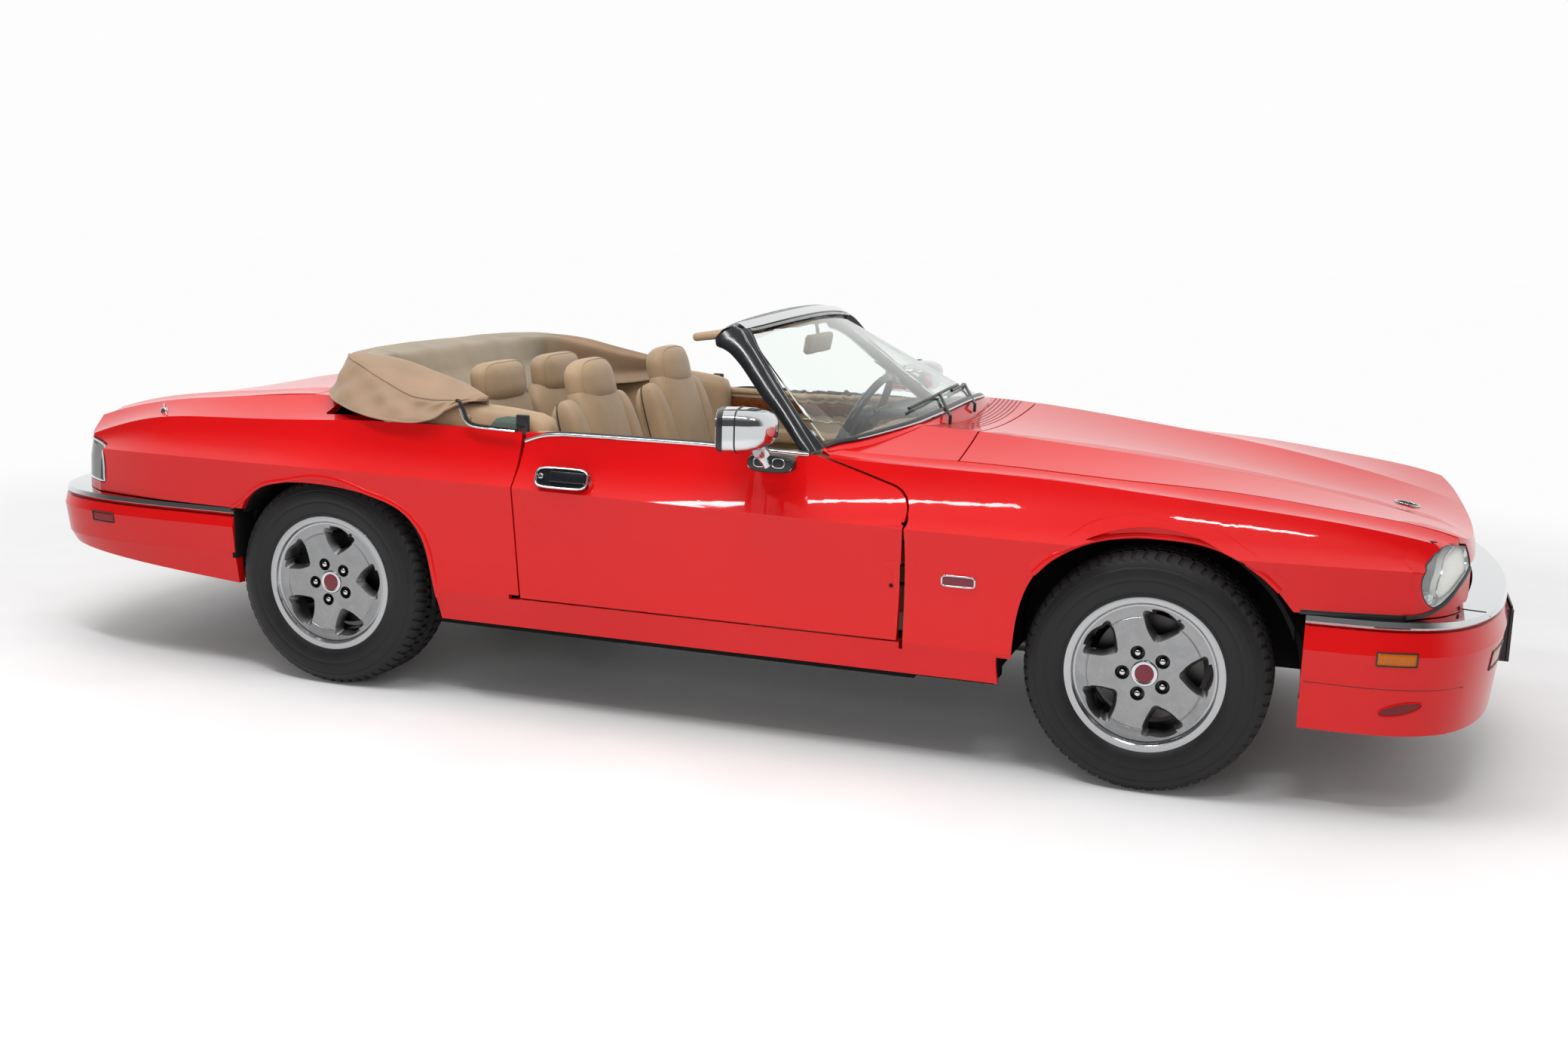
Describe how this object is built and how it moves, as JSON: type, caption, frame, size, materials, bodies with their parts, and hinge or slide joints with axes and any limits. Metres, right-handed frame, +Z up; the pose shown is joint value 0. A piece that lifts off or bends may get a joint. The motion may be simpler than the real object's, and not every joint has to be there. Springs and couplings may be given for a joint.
{
  "type": "convertible car",
  "caption": "Long-bonnet grand touring convertible with its soft top folded under a cover, opening doors, bonnet and boot lid, steered front wheels and four seats.",
  "frame": {"origin": "mid-length and centreline of the car, on the ground under its tyres", "axes": "+X towards the nose, +Y towards the car's left side, +Z up"},
  "size_m": [4.8569, 2.1046, 1.2399],
  "materials": {
    "body_paint": "gloss red",
    "bright_trim": "polished",
    "wheel_alloy": "silver with polished lip",
    "tyre_rubber": "matt",
    "window_glass": "clear, faint green",
    "tan_leather": "soft sheen",
    "tan_cloth": "woven",
    "black_trim": "satin",
    "underbody": "matt black",
    "lamp_chrome": "polished reflector",
    "lamp_dark": "smoked red",
    "running_gear": "plain",
    "exhaust_steel": "dark"
  },
  "bodies": {
    "root": {"front_wings": "body_paint", "rear_quarters": "body_paint", "sills": "body_paint", "front_bumper": "body_paint", "rear_bumper": "body_paint", "bumper_blades": "bright_trim", "front_lamps": "lamp_chrome", "rear_lamps": "lamp_dark", "grille": "bright_trim", "cowl_panel": "body_paint", "rear_deck": "body_paint", "windscreen_frame": "black_trim", "windscreen_glass": "window_glass", "windscreen_fittings": "tan_cloth", "wipers": "black_trim", "hood_cover": "tan_cloth", "front_seats": "tan_leather", "rear_seats": "tan_leather", "dashboard": "tan_leather", "console": "tan_leather", "front_structure": "underbody", "cabin_floor": "underbody", "boot_tub": "underbody", "engine": "running_gear", "exhaust": "exhaust_steel", "suspension": "running_gear"},
    "door_right": {"door_right": "body_paint", "door_card_right": "tan_leather", "door_mirror_right": "bright_trim"},
    "door_left": {"door_left": "body_paint", "door_card_left": "tan_leather", "door_mirror_left": "bright_trim"},
    "bonnet": {"bonnet": "body_paint"},
    "boot_lid": {"boot_lid": "body_paint"},
    "steering_wheel": {"steering_wheel": "black_trim"},
    "knuckle_right": {"knuckle_right": "running_gear"},
    "knuckle_left": {"knuckle_left": "running_gear"},
    "wheel_front_right": {"tyre_front_right": "tyre_rubber", "rim_front_right": "wheel_alloy"},
    "wheel_front_left": {"tyre_front_left": "tyre_rubber", "rim_front_left": "wheel_alloy"},
    "wheel_rear_right": {"tyre_rear_right": "tyre_rubber", "rim_rear_right": "wheel_alloy"},
    "wheel_rear_left": {"tyre_rear_left": "tyre_rubber", "rim_rear_left": "wheel_alloy"}
  },
  "joints": [
    {"name": "door_right_hinge", "type": "hinge", "parent": "root", "child": "door_right", "pos_m": [0.745, -0.872, 0.6], "axis": [0, 0, 1], "range_deg": [0, 65]},
    {"name": "door_left_hinge", "type": "hinge", "parent": "root", "child": "door_left", "pos_m": [0.745, 0.872, 0.6], "axis": [0, 0, -1], "range_deg": [0, 65]},
    {"name": "bonnet_hinge", "type": "hinge", "parent": "root", "child": "bonnet", "pos_m": [2.235, 0, 0.61], "axis": [0, 1, 0], "range_deg": [0, 55]},
    {"name": "boot_lid_hinge", "type": "hinge", "parent": "root", "child": "boot_lid", "pos_m": [-1.362, 0, 0.914], "axis": [0, 1, 0], "range_deg": [0, 60]},
    {"name": "steer_right", "type": "hinge", "parent": "root", "child": "knuckle_right", "pos_m": [1.4585, -0.6795, 0.338], "axis": [0, 0, 1], "range_deg": [-30, 30]},
    {"name": "steer_left", "type": "hinge", "parent": "root", "child": "knuckle_left", "pos_m": [1.4585, 0.6795, 0.338], "axis": [0, 0, 1], "range_deg": [-30, 30]},
    {"name": "steering_wheel_turn", "type": "hinge", "parent": "root", "child": "steering_wheel", "pos_m": [0.285, 0.33, 0.831], "axis": [-0.8829, 0, 0.4695], "range_deg": [-480, 480]},
    {"name": "wheel_front_right_spin", "type": "hinge", "parent": "knuckle_right", "child": "wheel_front_right", "pos_m": [1.4585, -0.7445, 0.338], "axis": [0, 1, 0], "continuous": true},
    {"name": "wheel_front_left_spin", "type": "hinge", "parent": "knuckle_left", "child": "wheel_front_left", "pos_m": [1.4585, 0.7445, 0.338], "axis": [0, 1, 0], "continuous": true},
    {"name": "wheel_rear_right_spin", "type": "hinge", "parent": "root", "child": "wheel_rear_right", "pos_m": [-1.1325, -0.752, 0.338], "axis": [0, 1, 0], "continuous": true},
    {"name": "wheel_rear_left_spin", "type": "hinge", "parent": "root", "child": "wheel_rear_left", "pos_m": [-1.1325, 0.752, 0.338], "axis": [0, 1, 0], "continuous": true}
  ],
  "couplings": [
    {"joint": "steer_left", "follows": "steer_right", "ratio": 1},
    {"joint": "steering_wheel_turn", "follows": "steer_right", "ratio": 15.5}
  ]
}
